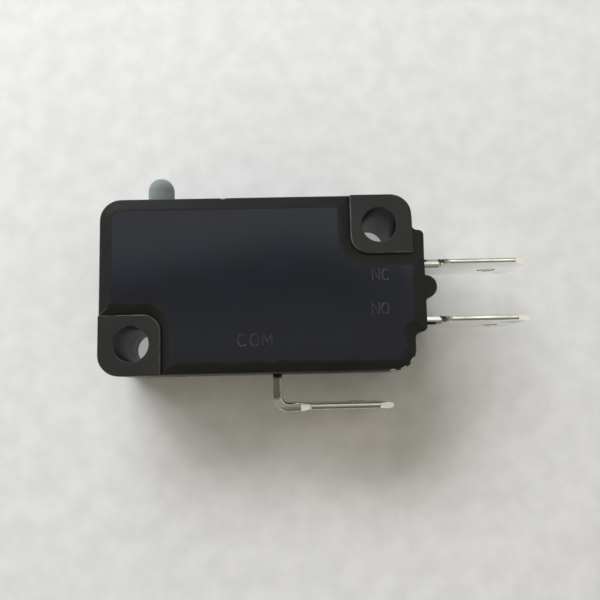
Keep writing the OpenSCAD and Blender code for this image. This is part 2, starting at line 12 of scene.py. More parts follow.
import bmesh
import bpy
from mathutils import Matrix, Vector


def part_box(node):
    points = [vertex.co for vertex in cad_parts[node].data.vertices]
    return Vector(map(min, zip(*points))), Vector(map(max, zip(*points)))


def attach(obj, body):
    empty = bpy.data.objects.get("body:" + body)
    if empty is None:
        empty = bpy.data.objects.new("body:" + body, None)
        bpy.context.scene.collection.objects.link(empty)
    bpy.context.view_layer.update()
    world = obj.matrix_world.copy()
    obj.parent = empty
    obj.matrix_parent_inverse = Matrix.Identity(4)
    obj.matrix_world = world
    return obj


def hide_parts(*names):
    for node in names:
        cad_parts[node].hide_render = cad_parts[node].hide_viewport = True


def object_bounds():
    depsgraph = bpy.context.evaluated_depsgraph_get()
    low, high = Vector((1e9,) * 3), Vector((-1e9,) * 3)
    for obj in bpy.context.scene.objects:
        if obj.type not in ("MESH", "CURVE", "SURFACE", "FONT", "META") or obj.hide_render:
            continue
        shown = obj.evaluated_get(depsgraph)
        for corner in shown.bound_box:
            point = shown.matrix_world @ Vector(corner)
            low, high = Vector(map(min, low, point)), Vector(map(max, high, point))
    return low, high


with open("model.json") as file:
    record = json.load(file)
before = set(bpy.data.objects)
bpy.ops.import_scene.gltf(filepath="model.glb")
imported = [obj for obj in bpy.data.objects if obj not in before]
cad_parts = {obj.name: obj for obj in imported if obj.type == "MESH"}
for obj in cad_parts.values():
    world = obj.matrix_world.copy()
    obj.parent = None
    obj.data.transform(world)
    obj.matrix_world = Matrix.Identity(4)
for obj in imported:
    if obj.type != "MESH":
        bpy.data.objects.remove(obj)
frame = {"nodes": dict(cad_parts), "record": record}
cad_low, cad_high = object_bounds()
nodes = frame["nodes"]
mounts = {mount["name"]: mount for mount in frame["record"]["mounts"]}
joints = {joint["name"]: joint for joint in frame["record"]["behaviour"]["joints"]}
MM = 0.001
scene = bpy.context.scene


def add_object(name, data):
    """Puts an object with the given data in the scene."""
    thing = bpy.data.objects.new(name, data)
    scene.collection.objects.link(thing)
    return thing


print("CAD nodes:", len(nodes), "box in mm:", [round(v / MM, 2) for v in cad_high - cad_low])

# %% [markdown]
# ## The camera
# The photograph looks almost straight down on the marked face from a hand's breadth away, so the walls
# lean outwards in it. A camera can be matched by eye, or worked out from points whose real places are
# known. Here the hole centres, the corners and the blade tips gave the focal length in pixels, the
# place and the three small tilts, so that every edge of the CAD model falls on its edge in the picture.

# %% Camera
IMAGE_PX = 600
FOCAL_PX = 696.7
SENSOR_MM = 36.0
CAMERA_AT = Vector((14.09, -4.08, 71.51)) * MM
CAMERA_TURN = (7.15, -0.78, -1.17)

lens = bpy.data.cameras.new("photo_camera")
lens.sensor_width = SENSOR_MM
lens.lens = FOCAL_PX / IMAGE_PX * SENSOR_MM
lens.clip_start = 1 * MM
camera = add_object("photo_camera", lens)
camera.location = CAMERA_AT
camera.rotation_mode = "ZYX"
camera.rotation_euler = [math.radians(turn) for turn in CAMERA_TURN]
scene.camera = camera
scene.view_settings.view_transform = "Standard"
print("Lens in mm:", round(lens.lens, 2))

# %% [markdown]
# ## Writing node trees by hand
# Floors, lights, plastics and metals are all node trees, and a tree is a list of nodes and links.
# Typing both out for every node hides what the tree does. One small helper adds a node and takes its
# inputs as a dictionary: a value fills a socket, and another node's output is linked to it. The other
# helpers are short names for the nodes that come up most.

# %% Node helpers
def put(tree, kind, inputs=None, **settings):
    """Adds a node to a tree, sets its properties, and fills or links its inputs."""
    node = tree.nodes.new(kind)
    for name, value in settings.items():
        setattr(node, name, value)
    for name, value in (inputs or {}).items():
        if isinstance(value, bpy.types.NodeSocket):
            tree.links.new(value, node.inputs[name])
        else:
            node.inputs[name].default_value = value
    return node


def sums(tree, operation, first, second):
    """The output of a Math node on two values."""
    return put(tree, "ShaderNodeMath", {0: first, 1: second}, operation=operation).outputs[0]


def spread(tree, value, low, high, start=0.0, stop=1.0):
    """Maps a value from the range low to high on to the range start to stop, held at both ends."""
    inputs = {"Value": value, "From Min": low, "From Max": high, "To Min": start, "To Max": stop}
    return put(tree, "ShaderNodeMapRange", inputs).outputs["Result"]


COLOUR_A, COLOUR_B, COLOUR_OUT = 6, 7, 2


def tint(tree, share, first, second):
    """A colour between two colours."""
    inputs = {0: share, COLOUR_A: first, COLOUR_B: second}
    return put(tree, "ShaderNodeMix", inputs, data_type="RGBA").outputs[COLOUR_OUT]


def rgb(red, green, blue):
    """An opaque colour."""
    return (red, green, blue, 1.0)


def place(tree):
    """Object coordinates, which are metres here."""
    return put(tree, "ShaderNodeTexCoord").outputs["Object"]


def noise(tree, spot, scale, detail=2.0):
    """The value of a noise texture at a place."""
    return put(tree, "ShaderNodeTexNoise", {"Vector": spot, "Scale": scale, "Detail": detail}).outputs[0]


def vector_math(tree, operation, first, second, output="Vector"):
    """One output of a Vector Math node on two vectors."""
    return put(tree, "ShaderNodeVectorMath", {0: first, 1: second}, operation=operation).outputs[output]


def dot(tree, first, second):
    """The dot product of two vectors."""
    return vector_math(tree, "DOT_PRODUCT", first, second, "Value")


def distance(tree, first, second):
    """The distance between two places."""
    return vector_math(tree, "DISTANCE", first, second, "Value")


def attribute(tree, name):
    """What an attribute of the faces says."""
    return put(tree, "ShaderNodeAttribute", attribute_name=name).outputs["Fac"]


def new_material(name):
    """A material with an empty node tree."""
    material = bpy.data.materials.new(name)
    material.use_nodes = True
    material.node_tree.nodes.clear()
    return material, material.node_tree


def surface(tree, sockets):
    """Ends a material in a Principled shader."""
    shader = put(tree, "ShaderNodeBsdfPrincipled", sockets)
    put(tree, "ShaderNodeOutputMaterial", {"Surface": shader.outputs[0]})


print("Node helpers ready")

# %% [markdown]
# ## The sky
# The camera looks straight down, so the flat black face and the upper edges of the blades mirror the
# sky just round the camera. That part decides how black plastic and bright tin look. In a real room
# the person with the camera darkens one side of it, while a strip of the ceiling beyond the plunger
# edge is bright. An image of a room could do this. Here an even dome gets a pale horizon that fades
# towards +X and +Y, a lighter top and a shaded side. A bright strip, which bends down at both ends, and
# two round panes are added to it. Strip and shade go by how far a direction leans to +X or +Y, a pane
# by the angle to its middle.

# %% Sky
DOME, HORIZON, DOME_TONE = 0.17, 2.6, rgb(1.07, 1.0, 0.86)
HORIZON_TOP = 0.6
FADE_X, FADE_Y = 0.35, 0.6
ZENITH, ZENITH_CAP = 0.25, (0.93, 0.98)
ZENITH_BAND, ZENITH_LEFT = (0.15, 0.08), 0.35
SHADE_LEFT = 0.28
SHADE_STARTS, SHADE_SIDES = (0.03, -0.03), (0.22, 0.38)
STRIP_GLOW, STRIP_TONE = 0.64, rgb(0.97, 1.0, 1.04)
STRIP_STARTS, STRIP_ENDS, STRIP_SIDES = (0.19, 0.235), (0.30, 0.38), (0.35, 0.50)
STRIP_BEND = 0.2
WINDOW_TOWARDS = Vector((-0.36, 0.62, 0.56)).normalized()
SIDE_TOWARDS = Vector((0.285, 0.24, 0.93)).normalized()
PANES = [(WINDOW_TOWARDS, 4.0, 12.0, 8.0), (SIDE_TOWARDS, 1.0, 8.5, 5.0)]

world = bpy.data.worlds.new("studio")
world.use_nodes = True
sky = world.node_tree
sky.nodes.clear()
aim = put(sky, "ShaderNodeTexCoord").outputs["Generated"]
lean = put(sky, "ShaderNodeSeparateXYZ", {0: aim}).outputs
aside = sums(sky, "ABSOLUTE", lean["X"], 0.0)
horizon = spread(sky, lean["Z"], 0.0, HORIZON_TOP, HORIZON, 0.0)
for axis_name, loss in (("X", FADE_X), ("Y", FADE_Y)):
    horizon = sums(sky, "MULTIPLY", horizon, spread(sky, lean[axis_name], 0.0, 1.0, 1.0, 1.0 - loss))
top = sums(
    sky, "MULTIPLY", spread(sky, lean["Z"], *ZENITH_CAP, 0.0, ZENITH),
    spread(sky, lean["Y"], *ZENITH_BAND, ZENITH_LEFT, 1.0))
dome = sums(sky, "ADD", sums(sky, "ADD", horizon, DOME), top)
shade = sums(
    sky, "MULTIPLY", spread(sky, lean["Y"], *SHADE_STARTS), spread(sky, aside, *SHADE_SIDES, 1.0, 0.0))
dome = sums(sky, "MULTIPLY", dome, spread(sky, shade, 0.0, 1.0, 1.0, SHADE_LEFT))
across = sums(sky, "ADD", lean["Y"], sums(sky, "MULTIPLY", aside, STRIP_BEND))
glow = sums(
    sky, "MULTIPLY", spread(sky, across, *STRIP_STARTS, 0.0, STRIP_GLOW),
    spread(sky, across, *STRIP_ENDS, 1.0, 0.0))
glow = sums(sky, "MULTIPLY", glow, spread(sky, aside, *STRIP_SIDES, 1.0, 0.0))
for towards, level, rim, core in PANES:
    ends = [math.cos(math.radians(angle)) for angle in (rim, core)]
    glow = sums(sky, "ADD", glow, spread(sky, dot(sky, aim, towards), *ends, 0.0, level))
parts = [
    put(sky, "ShaderNodeBackground", {"Color": tone, "Strength": level}).outputs[0]
    for tone, level in ((DOME_TONE, dome), (STRIP_TONE, glow))
]
both = put(sky, "ShaderNodeAddShader", {0: parts[0], 1: parts[1]})
put(sky, "ShaderNodeOutputWorld", {"Surface": both.outputs[0]})
scene.world = world
print("Sky nodes:", len(sky.nodes))

# %% [markdown]
# ## Window and floor
# A large window stands beyond the plunger edge: the switch throws one soft shadow towards the
# picture's lower edge, and the thin blades throw faint ones. An area lamp of the window's size does
# that, where a small lamp would draw hard bands. Glossy rays don't see the lamp, so that the plastic
# mirrors only the sky. The floor is a pale sheet with faint mottling. Little of the lamp's light finds
# its way down the two screw holes, yet the sheet shows pale through them, so it glows a little there.

# %% Window and floor
LAMP_WATTS, LAMP_TONE = 0.58, (0.97, 1.0, 1.06)
LAMP_SIZE = (0.24, 0.11)
LAMP_AWAY = 0.25
FLOOR_REACH = 1.5
FLOOR_DROP = 0.01 * MM
FLOOR_PALE, FLOOR_DULL = rgb(0.80, 0.80, 0.79), rgb(0.74, 0.74, 0.73)
FLOOR_ROUGH, FLOOR_SHINE = 0.9, 0.2
MOTTLE_SCALE, MOTTLE_RANGE = 420.0, (0.35, 0.65)
HOLE_GLOW, HOLE_GLOW_R = 0.42, 1.9 * MM
part_middle = (cad_low + cad_high) / 2
bores = [Vector(mount["pos_m"]) for mount in mounts.values() if mount["kind"] == "bore"]

lamp = bpy.data.lights.new("soft_window", "AREA")
lamp.shape = "RECTANGLE"
lamp.size, lamp.size_y = LAMP_SIZE
lamp.energy = LAMP_WATTS
lamp.color = LAMP_TONE
window = add_object("soft_window", lamp)
window.location = part_middle + WINDOW_TOWARDS * LAMP_AWAY
window.rotation_euler = WINDOW_TOWARDS.to_track_quat("Z", "Y").to_euler()
window.visible_glossy = False

sheet, tree = new_material("pale_sheet")
spot = place(tree)
mottle = spread(tree, noise(tree, spot, MOTTLE_SCALE, 3.0), *MOTTLE_RANGE)
apart = [distance(tree, spot, bore) for bore in bores]
under_hole = sums(tree, "LESS_THAN", sums(tree, "MINIMUM", *apart), HOLE_GLOW_R)
surface(tree, {
    "Base Color": tint(tree, mottle, FLOOR_DULL, FLOOR_PALE),
    "Roughness": FLOOR_ROUGH,
    "Specular IOR Level": FLOOR_SHINE,
    "Emission Color": tint(tree, under_hole, rgb(0, 0, 0), FLOOR_PALE),
    "Emission Strength": HOLE_GLOW,
})
floor_mesh = bpy.data.meshes.new("floor")
floor_z = cad_low.z - FLOOR_DROP
sides = ((-1, -1), (1, -1), (1, 1), (-1, 1))
floor_mesh.from_pydata([(x * FLOOR_REACH, y * FLOOR_REACH, floor_z) for x, y in sides], [], [(0, 1, 2, 3)])
floor_mesh.materials.append(sheet)
floor = add_object("floor", floor_mesh)
print("Lamp at mm:", [round(v / MM) for v in window.location])

# %% [markdown]
# ## Effects that several materials share
# Moulded plastic is never one flat black: the melt leaves cloudy patches and the mould's skin a fine
# grain, corners that are handled turn pale, and knocks leave ragged scuffs. The pale corners are also a
# painted highlight along the edges, and the scuffs' line also draws painted shade on the blades. Rolled
# strip has streaks along its length. Each of these is a node group, built once, so that every material
# can place it with its own values. All of them read Object coordinates, which are metres here, so a
# scale of 5000 makes marks a fifth of a millimetre across.

# %% Shared effects
PATCH_RANGE, RUB_AND_HIGHLIGHT_RANGE = (0.3, 0.7), (0.35, 0.7)
RAG_SCALE, RAG_SHARE = 9000.0, 0.9
SCUFF_RANGE, SCUFF_RIM = (0.65, 1.0), (0.0, 0.2)
STRIP_PATCHES = 700.0


def new_group(name, inputs, outputs):
    """An empty shader group with named sockets, and its input and output nodes."""
    group = bpy.data.node_groups.new(name, "ShaderNodeTree")
    for label, kind, value in inputs:
        socket = group.interface.new_socket(label, in_out="INPUT", socket_type="NodeSocket" + kind)
        socket.default_value = value
    for label in outputs:
        group.interface.new_socket(label, in_out="OUTPUT", socket_type="NodeSocketFloat")
    return group, put(group, "NodeGroupInput"), put(group, "NodeGroupOutput")


def link_out(group, sink, **values):
    """Links values to the output sockets of a group, whose names have spaces for underscores."""
    for label, value in values.items():
        group.links.new(value, sink.inputs[label.replace("_", " ")])


skin_group, given, sink = new_group(
    "moulded_skin", [("Patch scale", "Float", 300.0), ("Grain scale", "Float", 6000.0)],
    ["Patches", "Grain"])
cloud = noise(skin_group, place(skin_group), given.outputs["Patch scale"], 4.0)
link_out(
    skin_group, sink, Patches=spread(skin_group, cloud, *PATCH_RANGE),
    Grain=noise(skin_group, place(skin_group), given.outputs["Grain scale"]))

# Painted highlight: this mask of rubbed edges also lays a painted highlight along them.
rub_and_highlight_group, given, sink = new_group("rubbed_edge", [("Break scale", "Float", 900.0)], ["Mask"])
breaks = noise(rub_and_highlight_group, place(rub_and_highlight_group), given.outputs["Break scale"], 5.0)
patchy = spread(rub_and_highlight_group, breaks, *RUB_AND_HIGHLIGHT_RANGE)
link_out(rub_and_highlight_group, sink, Mask=sums(rub_and_highlight_group, "MULTIPLY", attribute(rub_and_highlight_group, "rubbed"), patchy))

# This line mask draws real scuffs and also the painted shade films on the blades.
scuff_and_shade_group, given, sink = new_group(
    "scuff_and_shade", [("Start", "Vector", (0, 0, 0)), ("Stop", "Vector", (MM, 0, 0)), ("Width", "Float", 0.1 * MM)],
    ["Mask"])
run = vector_math(scuff_and_shade_group, "SUBTRACT", given.outputs["Stop"], given.outputs["Start"])
offset = vector_math(scuff_and_shade_group, "SUBTRACT", place(scuff_and_shade_group), given.outputs["Start"])
share = sums(scuff_and_shade_group, "DIVIDE", dot(scuff_and_shade_group, offset, run), dot(scuff_and_shade_group, run, run))
nearest = put(
    scuff_and_shade_group, "ShaderNodeVectorMath", {0: run, "Scale": spread(scuff_and_shade_group, share, 0.0, 1.0)},
    operation="SCALE").outputs["Vector"]
away = sums(scuff_and_shade_group, "DIVIDE", distance(scuff_and_shade_group, offset, nearest), given.outputs["Width"])
near = sums(scuff_and_shade_group, "SUBTRACT", 1.0, away)
ragged = sums(scuff_and_shade_group, "MULTIPLY", noise(scuff_and_shade_group, place(scuff_and_shade_group), RAG_SCALE), RAG_SHARE)
ragged = spread(scuff_and_shade_group, sums(scuff_and_shade_group, "ADD", near, ragged), *SCUFF_RANGE)
inside = spread(scuff_and_shade_group, near, *SCUFF_RIM)
link_out(scuff_and_shade_group, sink, Mask=sums(scuff_and_shade_group, "MULTIPLY", ragged, inside))

strip_group, given, sink = new_group(
    "rolled_strip", [("Stretch", "Vector", (1, 1, 1)), ("Streak scale", "Float", 9000.0)],
    ["Streaks", "Patches"])
stretched = vector_math(strip_group, "MULTIPLY", place(strip_group), given.outputs["Stretch"])
cloud = noise(strip_group, place(strip_group), STRIP_PATCHES, 4.0)
link_out(
    strip_group, sink, Patches=spread(strip_group, cloud, *PATCH_RANGE),
    Streaks=noise(strip_group, stretched, given.outputs["Streak scale"], 3.0))


def effect(tree, group, **values):
    """Places a shared effect in a material and returns its outputs."""
    node = put(tree, "ShaderNodeGroup", node_tree=group)
    for label, value in values.items():
        node.inputs[label.replace("_", " ")].default_value = value
    return node.outputs


def bump(tree, height, depth):
    """A normal from a height between 0 and 1 that stands for a depth in metres."""
    return put(tree, "ShaderNodeBump", {"Height": height, "Distance": depth}).outputs["Normal"]


print("Shared effects:", [g.name for g in (skin_group, rub_and_highlight_group, scuff_and_shade_group, strip_group)])

# %% [markdown]
# ## Black mouldings
# Case and cover are moulded in a black, glass-filled plastic. The mould for the raised face was
# polished, so it mirrors the cool light from above, and its colour is also painted bluish, a painted
# cool reflection, while pads, bevels and walls have a duller and slightly warmer skin. One material
# serves both: a face attribute says where the smooth skin with its painted sheen is. Corners that rub
# against other things go grey, a grey pale enough to be partly a painted highlight, and a few knocks
# show as pale scuffs.

# %% Plastics
SKIN_DULL, SKIN_WARM = rgb(0.0038, 0.0043, 0.0042), rgb(0.0060, 0.0064, 0.0062)
WORN_GREY = rgb(0.023, 0.0225, 0.021)
# Painted reflection: the raised face's colours are painted bluish, for the cool sky that it mirrors.
FACE_DULL_SHEEN, FACE_COOL_SHEEN = rgb(0.0046, 0.0064, 0.0124), rgb(0.0060, 0.0082, 0.0160)
SKIN_ROUGH, FACE_ROUGH = 0.45, 0.12
# The rubbed grey is pale enough to be partly a painted highlight on the edges.
RUBBED_AND_HIGHLIGHT_GREY, TORN_GREY = rgb(0.170, 0.170, 0.165), rgb(0.36, 0.36, 0.34)
RUB_AND_HIGHLIGHT_SHARE, SCUFF_ROUGH = 0.55, 0.3
GRAIN_DEPTH, FACE_GRAIN = 0.004 * MM, 0.25
LEAST_WORN, UNEVEN = 0.6, (0.9, 1.1)
PIN_DULL, PIN_PALE = rgb(0.150, 0.172, 0.172), rgb(0.190, 0.216, 0.217)
PIN_ROUGH, PIN_GRAIN_DEPTH = (0.48, 0.58), 0.006 * MM


def black_moulding(name, scuffs):
    """Black plastic with a polished face in a painted cool sheen, rubbed edges that also carry a painted
    highlight, and scuffs at the given places in mm.
    """
    material, tree = new_material(name)
    skin = effect(tree, skin_group, Patch_scale=260.0, Grain_scale=5200.0)
    rubbed = effect(tree, rub_and_highlight_group, Break_scale=900.0)["Mask"]
    polished_and_sheen = attribute(tree, "polished_and_sheen")
    dull = tint(tree, skin["Patches"], SKIN_DULL, SKIN_WARM)
    cool_sheen = tint(tree, skin["Patches"], FACE_DULL_SHEEN, FACE_COOL_SHEEN)
    patchy = spread(tree, skin["Patches"], 0.0, 1.0, LEAST_WORN, 1.0)
    worn = sums(tree, "MULTIPLY", attribute(tree, "worn"), patchy)
    # Painted reflection: the polished face takes the bluish colours that stand for its cool sheen.
    colour = tint(tree, polished_and_sheen, dull, cool_sheen)
    colour = tint(tree, worn, colour, WORN_GREY)
    # Rubbed edges go grey: partly wear, partly a painted highlight.
    colour = tint(tree, sums(tree, "MULTIPLY", rubbed, RUB_AND_HIGHLIGHT_SHARE), colour, RUBBED_AND_HIGHLIGHT_GREY)
    rough = spread(tree, polished_and_sheen, 0.0, 1.0, SKIN_ROUGH, FACE_ROUGH)
    rough = sums(tree, "MULTIPLY", rough, spread(tree, skin["Patches"], 0.0, 1.0, *UNEVEN))
    grain = sums(tree, "MULTIPLY", skin["Grain"], spread(tree, polished_and_sheen, 0.0, 1.0, 1.0, FACE_GRAIN))
    for start, stop, width in scuffs:
        ends = {"Start": Vector(start) * MM, "Stop": Vector(stop) * MM}
        torn = effect(tree, scuff_and_shade_group, **ends, Width=width * MM)["Mask"]
        colour = tint(tree, torn, colour, TORN_GREY)
        rough = sums(tree, "ADD", rough, sums(tree, "MULTIPLY", torn, SCUFF_ROUGH))
    surface(tree, {
        "Base Color": colour,
        "Roughness": rough,
        "Normal": bump(tree, grain, GRAIN_DEPTH),
    })
    return material


KNOCKED_Z, COVER_KNOCKS = 9.99, (4.3, 7.6, 10.6, 11.5)
CASE_SCUFFS = [
    ((24.64, -2.05, KNOCKED_Z), (24.88, -1.73, KNOCKED_Z), 0.19),
    ((23.79, -2.61, KNOCKED_Z), (24.11, -2.45, KNOCKED_Z), 0.16),
    ((22.84, -2.74, KNOCKED_Z), (23.16, -2.74, KNOCKED_Z), 0.16),
    ((8.02, 13.04, KNOCKED_Z), (8.26, 13.04, KNOCKED_Z), 0.16),
]
COVER_SCUFFS = [((x - 0.1, -2.75, 3.25), (x + 0.1, -2.75, 3.25), 0.12) for x in COVER_KNOCKS]
case_plastic = black_moulding("case_plastic", CASE_SCUFFS)
cover_plastic = black_moulding("cover_plastic", COVER_SCUFFS)

plunger_plastic, tree = new_material("plunger_plastic")
skin = effect(tree, skin_group, Patch_scale=500.0, Grain_scale=4200.0)
surface(tree, {
    "Base Color": tint(tree, skin["Patches"], PIN_DULL, PIN_PALE),
    "Roughness": spread(tree, skin["Patches"], 0.0, 1.0, *PIN_ROUGH),
    "Normal": bump(tree, skin["Grain"], PIN_GRAIN_DEPTH),
})
print("Plastics:", case_plastic.name, cover_plastic.name, plunger_plastic.name)

# %% [markdown]
# ## Metals
# The blades are brass strip with a bright tin plate. Tin reflects like soft silver: nearly white, but
# too uneven to be a mirror. Where the press sheared the strip there is hardly any plate, so those
# narrow edges are duller and a little olive. A face attribute called "sheared" marks them, and one
# called "torn" the slopes of shoulder and tip, which the press leaves rough. The tone of these slopes is
# painted light: whiter on the two end blades, a painted highlight, and darker on the common blade, which
# lies in shade, so the common blade has a strip of its own. Where a blade leaves the moulding, a black
# film is painted on it as painted shade, and the leg of the common blade is painted darker, a painted
# dark reflection: the group that draws scuffs can draw both. The arm, the lever, the contacts and the
# spring are other metals with the same streaks.

# %% Metals
STREAK_DEPTH, STREAK_RANGE = 0.002 * MM, (0.3, 0.7)
SMOOTHER, ROUGHER = 0.07, 0.09
SHEARED_ROUGH, TORN_ROUGH = 0.06, 0.42
# Painted shade: black films where the blades leave the moulding, and a dark tone for the common blade's leg
# as a painted dark reflection.
ROOT_SHADE_BLACK, LEG_SHADE_METAL = rgb(0.03, 0.03, 0.025), rgb(0.29, 0.29, 0.23)


def rolled_metal(name, bright, dark, rough, stretch, sheared=None, torn_tone=None, shade_films=()):
    """Rolled strip: patches of two tones, streaks along it and, where given, cut edges and painted shade
    films.
    """
    material, tree = new_material(name)
    strip = effect(tree, strip_group, Stretch=stretch)
    colour = tint(tree, strip["Patches"], bright, dark)
    roughness = spread(tree, strip["Streaks"], *STREAK_RANGE, rough - SMOOTHER, rough + ROUGHER)
    if sheared:
        cuts = [("sheared", sheared, SHEARED_ROUGH), ("torn", torn_tone, TORN_ROUGH)]
        for mark, tone, more in cuts:
            cut = attribute(tree, mark)
            colour = tint(tree, cut, colour, tone)
            roughness = sums(tree, "ADD", roughness, sums(tree, "MULTIPLY", cut, more))
    # Painted shade: dark films drawn along lines on the strip.
    for start, stop, width, tone in shade_films:
        ends = {"Start": Vector(start) * MM, "Stop": Vector(stop) * MM}
        shade_film = effect(tree, scuff_and_shade_group, **ends, Width=width * MM)["Mask"]
        colour = tint(tree, shade_film, colour, tone)
    surface(tree, {
        "Base Color": colour,
        "Metallic": 1.0,
        "Roughness": roughness,
        "Normal": bump(tree, strip["Streaks"], STREAK_DEPTH),
    })
    return material


ALONG_X, EVEN = (0.06, 1.0, 1.0), (1.0, 1.0, 1.0)
NECK_TOP = 7.25
# Painted shade at the blade roots, drawn as black films.
BLADE_SHADE_FILMS = [
    # Painted dark reflection: the common blade's leg is painted darker than its plate.
    ((12.60, -2.80, NECK_TOP), (12.62, -4.75, NECK_TOP), 0.62, LEG_SHADE_METAL),
    ((12.4, -2.85, NECK_TOP), (13.1, -2.85, NECK_TOP), 0.55, ROOT_SHADE_BLACK),
    ((26.6, 7.48, NECK_TOP), (26.8, 7.48, NECK_TOP), 0.24, ROOT_SHADE_BLACK),
    ((26.6, 1.55, NECK_TOP), (27.4, 1.50, NECK_TOP), 0.27, ROOT_SHADE_BLACK),
]
TINNED = rgb(0.95, 0.95, 0.93), rgb(0.90, 0.90, 0.87), 0.12, ALONG_X, rgb(0.87, 0.88, 0.78)
# Painted light: the torn slopes are painted whiter on the end blades, as a painted highlight, and darker on
# the common blade, as painted shade.
plated_strip = rolled_metal("plated_strip", *TINNED, rgb(0.97, 0.97, 0.93), BLADE_SHADE_FILMS)
common_strip = rolled_metal("common_strip", *TINNED, rgb(0.78, 0.78, 0.73), BLADE_SHADE_FILMS)
contact_silver = rolled_metal("contact_silver", rgb(0.88, 0.87, 0.85), rgb(0.78, 0.77, 0.75), 0.30, EVEN)
arm_strip = rolled_metal("arm_strip", rgb(0.74, 0.44, 0.22), rgb(0.62, 0.34, 0.17), 0.32, ALONG_X)
lever_strip = rolled_metal("lever_strip", rgb(0.76, 0.60, 0.30), rgb(0.64, 0.48, 0.22), 0.32, ALONG_X)
spring_wire = rolled_metal("spring_wire", rgb(0.62, 0.63, 0.64), rgb(0.50, 0.51, 0.52), 0.28, EVEN)
metals = (plated_strip, common_strip, contact_silver, arm_strip, lever_strip, spring_wire)
print("Metals:", [metal.name for metal in metals])

# %% [markdown]
# ## Rounding the edges of a CAD piece
# A CAD edge is perfectly sharp and reflects nothing, so a render of it looks like cardboard. A real
# edge has a small radius that catches a thin line of light. The meshes could be modelled anew, but the
# CAD ones are already exact, so each is copied, its triangles are merged into whole flat faces, and a
# Bevel modifier rounds it. The bevel reads a weight on every edge, and a rule for each piece says how
# round an edge is by where it lies and by its angle, which is negative in an inner corner. The bevel's
# own guard against overlaps is off, because one tiny edge would make it shrink every radius of the
# piece; instead the rules leave crowded places sharp. A second material slot marks the new narrow faces,
# which are then stored as rubbed wear that is partly a painted edge highlight: lightly, unless the
# piece has its own idea of wear.

# %% Edge rounding
MERGE_WITHIN = 0.0005 * MM
FLAT_WITHIN = math.radians(0.3)
FACET_ANGLE = math.radians(17)
SHARP_ANGLE = math.radians(40)
CREASE_ANGLE = math.radians(6)
BEVEL_WEIGHT = "bevel_weight_edge"
LIGHT_RUB_AND_HIGHLIGHT, FAINT_RUB_AND_HIGHLIGHT = 0.35, 0.08
SHARP = -1.0


def merged_copy(node):
    """The mesh of a CAD node with its doubles merged and its flat faces made whole."""
    whole = bmesh.new()
    points = [whole.verts.new(v.co) for v in nodes[node].data.vertices]
    for face in nodes[node].data.polygons:
        whole.faces.new([points[i] for i in face.vertices])
    bmesh.ops.remove_doubles(whole, verts=whole.verts, dist=MERGE_WITHIN)
    bmesh.ops.dissolve_limit(whole, angle_limit=FLAT_WITHIN, verts=whole.verts, edges=whole.edges)
    whole.normal_update()
    return whole


def face_attribute(mesh, name, test):
    """Stores on every face what a test gives for it, which is 1 for true and 0 for false."""
    values = mesh.attributes.new(name, "FLOAT", "FACE").data
    for face in mesh.polygons:
        values[face.index].value = float(test(face))


def lightly(face):
    """The wear of an edge that little touches, which is partly a painted highlight."""
    return LIGHT_RUB_AND_HIGHLIGHT


def converted(draft, name):
    """Turns an object and its modifiers into a plain mesh object, and removes the draft."""
    graph = bpy.context.evaluated_depsgraph_get()
    mesh = bpy.data.meshes.new_from_object(draft.evaluated_get(graph), depsgraph=graph)
    mesh.name = name
    old = draft.data
    bpy.data.objects.remove(draft)
    bpy.data.meshes.remove(old)
    return add_object(name, mesh)


def finished(draft, name, *materials):
    """Turns a bmesh into a mesh with the given materials."""
    mesh = bpy.data.meshes.new(name)
    draft.to_mesh(mesh)
    draft.free()
    for material in materials:
        mesh.materials.append(material)
    return mesh


def rounded_piece(name, node, material, width, rule, segments=2, shape=None, rub_and_highlight=lightly):
    """A rounded copy of a CAD node. The rule gives each edge's share of the width, or SHARP."""
    whole = merged_copy(node)
    if shape:
        shape(whole)
    weight = whole.edges.layers.float.new(BEVEL_WEIGHT)
    for face in whole.faces:
        face.smooth = True
    rounded = 0
    for edge in whole.edges:
        angle = edge.calc_face_angle_signed(0.0)
        share = rule((edge.verts[0].co + edge.verts[1].co) / 2 / MM, angle)
        edge[weight] = max(share, 0.0)
        edge.smooth = share > 0 or (share == 0 and abs(angle) < SHARP_ANGLE)
        rounded += share > 0
    draft = add_object(name + "_draft", finished(whole, name, material, material))
    bevel = draft.modifiers.new("round_edges", "BEVEL")
    bevel.limit_method = "WEIGHT"
    bevel.width = width
    bevel.segments = segments
    bevel.material = 1
    bevel.loop_slide = False
    bevel.harden_normals = True
    bevel.use_clamp_overlap = False
    piece = converted(draft, name)
    # The narrow new faces carry the rubbed grey, which is partly a painted highlight.
    face_attribute(piece.data, "rubbed", lambda face: face.material_index and rub_and_highlight(face))
    for face in piece.data.polygons:
        face.material_index = 0
    piece.data.materials.pop()
    print(name, "edges rounded:", rounded, "faces:", len(piece.data.polygons))
    return piece


print("Edge rounding ready")

# %% [markdown]
# ## The case
# The case is the deep shell with the marked face. Its look comes from four levels: the pads on top,
# the raised face just below them, the bevel that falls away to the rim, and the walls. The raised
# face and the rim have the softest edges, the pads are crisper, and the edge at the parting line is
# a little eased, so that the halves meet in a fine groove. Edges of the closed chamber stay sharp.

